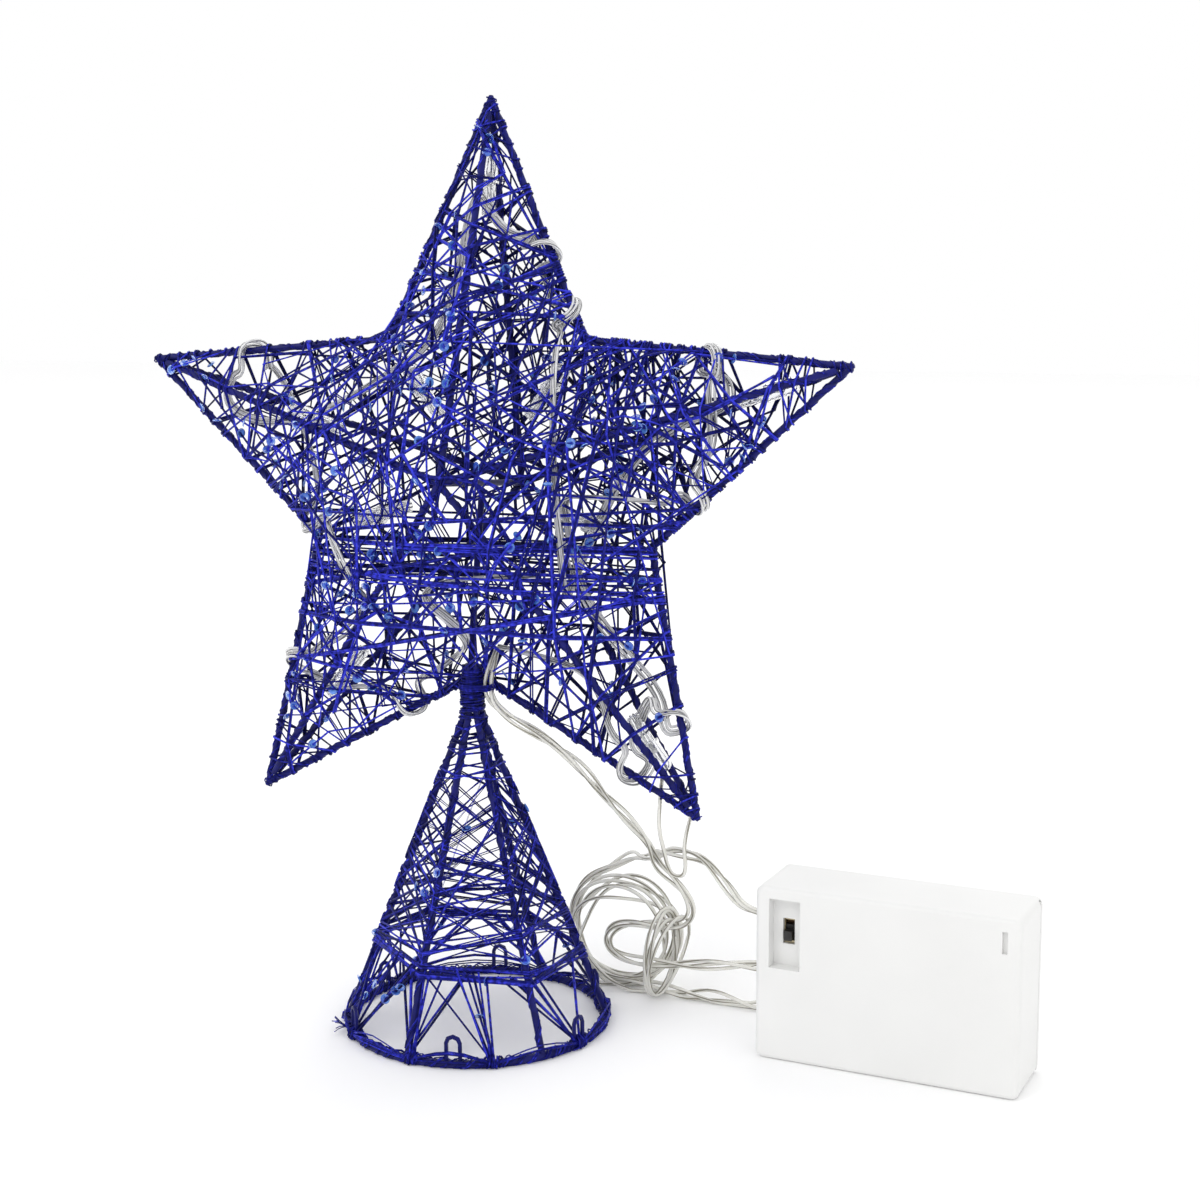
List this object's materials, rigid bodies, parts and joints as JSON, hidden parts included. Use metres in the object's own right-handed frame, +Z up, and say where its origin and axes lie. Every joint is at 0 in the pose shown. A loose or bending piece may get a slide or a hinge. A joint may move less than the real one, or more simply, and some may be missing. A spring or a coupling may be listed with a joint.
{
  "type": "christmas tree topper star",
  "caption": "Lighted tree topper: a thread-wound wire star with clear lamps on a wound cone foot, its lead running to a white battery box with a slide switch and a sliding lid.",
  "frame": {"origin": "centre of the cone's base ring, on the plane the ring stands on", "axes": "+Z up along the cone, +X to the right seen from the star's front, the star's front faces -Y and its plane leans back 6 degrees"},
  "size_m": [0.2522, 0.078, 0.2504],
  "materials": {
    "blue_wire": "gloss",
    "blue_thread": "shiny film yarn",
    "sequin": "gloss",
    "clear_lamp": "clear",
    "clear_sleeve": "clear",
    "clear_wire": "clear over silver strands",
    "white_plastic": "fine matte",
    "switch_metal": "plated",
    "switch_black": "matte",
    "switch_board": "matte",
    "cell": "gloss",
    "contact": "plated"
  },
  "bodies": {
    "topper": {"outline_wire_1": "blue_wire", "outline_wire_2": "blue_wire", "outline_wire_3": "blue_wire", "outline_wire_4": "blue_wire", "outline_wire_5": "blue_wire", "outline_wire_6": "blue_wire", "outline_wire_7": "blue_wire", "outline_wire_8": "blue_wire", "outline_wire_9": "blue_wire", "outline_wire_10": "blue_wire", "front_ridge_1": "blue_wire", "rear_ridge_1": "blue_wire", "front_ridge_2": "blue_wire", "rear_ridge_2": "blue_wire", "front_ridge_3": "blue_wire", "rear_ridge_3": "blue_wire", "front_ridge_4": "blue_wire", "rear_ridge_4": "blue_wire", "front_ridge_5": "blue_wire", "rear_ridge_5": "blue_wire", "apex_spacer": "blue_wire", "stem": "blue_wire", "base_ring": "blue_wire", "cone_leg_1": "blue_wire", "cone_leg_2": "blue_wire", "cone_leg_3": "blue_wire", "cone_leg_4": "blue_wire", "cone_leg_5": "blue_wire", "cone_leg_6": "blue_wire", "neck_binding": "blue_thread", "ring_eyelets": "blue_wire", "arm_winding_1": "blue_thread", "arm_winding_2": "blue_thread", "arm_winding_3": "blue_thread", "arm_winding_4": "blue_thread", "arm_winding_5": "blue_thread", "waist_winding": "blue_thread", "cone_winding": "blue_thread", "sequins": "sequin", "lamp_sleeves": "clear_sleeve", "lamps": "clear_lamp", "light_string": "clear_wire", "lead_low": "clear_wire", "lead_coil": "clear_wire", "lead_high": "clear_wire", "slack_loop": "clear_wire", "lead_tie": "blue_thread", "battery_case": "white_plastic", "switch_frame": "switch_metal", "switch_base": "switch_board", "aa_cells": "cell", "contact_springs": "contact", "contact_plates": "contact", "lead_bush": "white_plastic"},
    "lid": {"battery_lid": "white_plastic"},
    "knob": {"switch_knob": "switch_black"}
  },
  "joints": [
    {"name": "lid_slide", "type": "slide", "parent": "topper", "child": "lid", "axis": [0.9919, -0.1271, 0], "range_m": [0, 0.072]},
    {"name": "switch_slide", "type": "slide", "parent": "topper", "child": "knob", "axis": [0, 0, 1], "range_m": [0, 0.002]}
  ]
}
